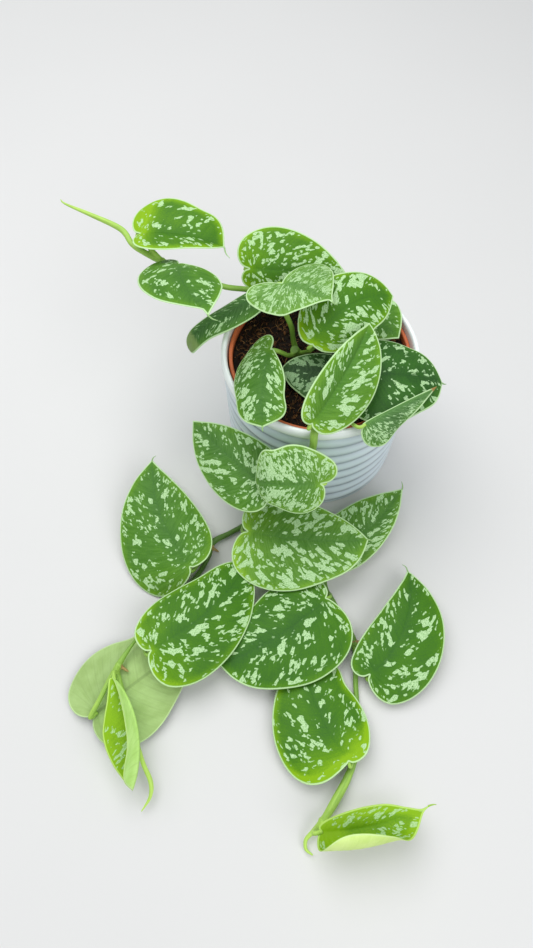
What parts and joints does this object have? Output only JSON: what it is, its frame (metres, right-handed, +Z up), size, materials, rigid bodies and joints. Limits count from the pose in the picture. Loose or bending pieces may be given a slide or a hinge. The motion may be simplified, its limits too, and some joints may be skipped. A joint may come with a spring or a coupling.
{
  "type": "potted trailing pothos",
  "caption": "Heart-leaved satin pothos in a nursery pot inside a ribbed ceramic cover pot, with vines trailing over the rim onto the table.",
  "frame": {"origin": "centre of the cover pot's flat base, on the table", "axes": "+Z up; the trailing vines run towards -Y and the free vine reaches towards -X"},
  "size_m": [0.2496, 0.3666, 0.1714],
  "materials": {
    "pot_glaze": "pale blue-grey gloss glaze with a lighter, mint-white rim",
    "nursery_plastic": "terracotta-coloured moulded plastic",
    "coir_soil": "dark brown coir and peat, granular",
    "old_stem": "dull green older stem tissue",
    "vine_green": "smooth green stem tissue",
    "leaf_green": "satin green blade with silvery splashes and a pale margin",
    "leaf_underside": "satin green blade whose pale, matt underside is up",
    "young_leaf": "yellow-green young blade with silvery splashes"
  },
  "bodies": {
    "root": {"cover_pot": "pot_glaze", "nursery_pot": "nursery_plastic", "soil": "coir_soil", "stem_centre": "old_stem", "stem_right": "old_stem", "vine_free": "vine_green", "vine_left": "vine_green", "vine_right": "vine_green", "leaf_01": "young_leaf", "leaf_02": "leaf_green", "leaf_03": "leaf_green", "leaf_04": "leaf_green", "leaf_05": "leaf_green", "leaf_06": "leaf_green", "leaf_07": "leaf_green", "leaf_08": "leaf_green", "leaf_09": "leaf_green", "leaf_10": "leaf_green", "leaf_11": "leaf_green", "leaf_12": "leaf_green", "leaf_13": "leaf_green", "leaf_14": "leaf_green", "leaf_15": "leaf_green", "leaf_16": "leaf_green", "leaf_17": "leaf_green", "leaf_18": "leaf_green", "leaf_19": "leaf_green", "leaf_20": "leaf_green", "leaf_21": "leaf_green", "leaf_22": "leaf_underside", "leaf_23": "young_leaf", "leaf_24": "young_leaf"}
  },
  "joints": []
}
